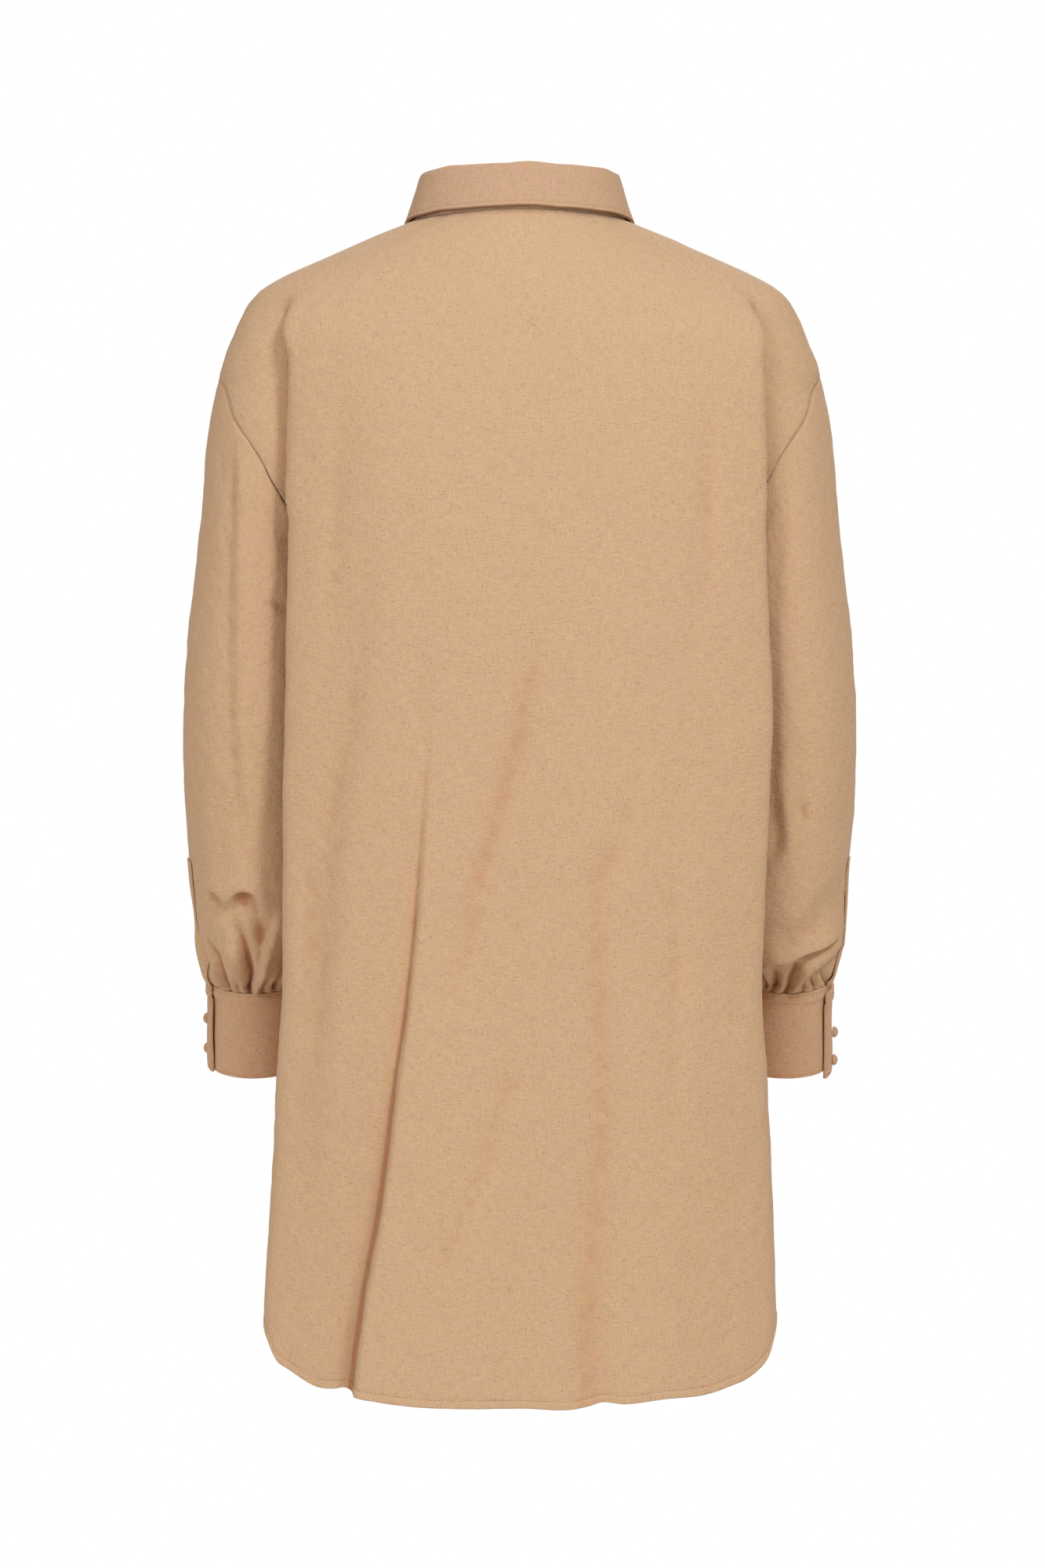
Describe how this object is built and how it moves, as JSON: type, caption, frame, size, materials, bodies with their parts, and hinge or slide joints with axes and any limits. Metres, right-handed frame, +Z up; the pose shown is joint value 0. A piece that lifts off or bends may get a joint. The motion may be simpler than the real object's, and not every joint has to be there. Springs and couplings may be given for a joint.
{
  "type": "blouse",
  "caption": "Long loose shirt-blouse with turned-down collar, dropped shoulders, full sleeves gathered into deep buttoned cuffs and a curved shirt-tail hem, hollow as worn.",
  "frame": {"origin": "middle of the neck, 7 mm above the centre-back neck seam, where the blouse is held as worn", "axes": "+Z up, the wearer faces +Y so the back of the blouse faces -Y, +X is the wearer's right"},
  "size_m": [0.5158, 0.2801, 0.9306],
  "materials": {
    "back": "slubbed linen-blend cloth, matt",
    "front": "slubbed linen-blend cloth, matt",
    "sleeve": "slubbed linen-blend cloth, matt",
    "cuff": "doubled linen-blend cloth, matt",
    "collar": "doubled linen-blend cloth, matt",
    "binding": "folded strip of the same cloth, matt",
    "button": "dome covered in the same cloth"
  },
  "bodies": {
    "root": {"back": "back", "front_left": "front", "front_right": "front", "collar_stand": "collar", "collar_leaf": "collar", "sleeve_left": "sleeve", "sleeve_right": "sleeve", "slit_binding_left": "binding", "slit_binding_right": "binding", "cuff_left": "cuff", "cuff_right": "cuff", "cuff_button_left_1": "button", "cuff_button_left_2": "button", "cuff_button_right_1": "button", "cuff_button_right_2": "button", "front_button_1": "button", "front_button_2": "button", "front_button_3": "button", "front_button_4": "button", "front_button_5": "button", "front_button_6": "button", "front_button_7": "button", "collar_button": "button"}
  },
  "joints": []
}
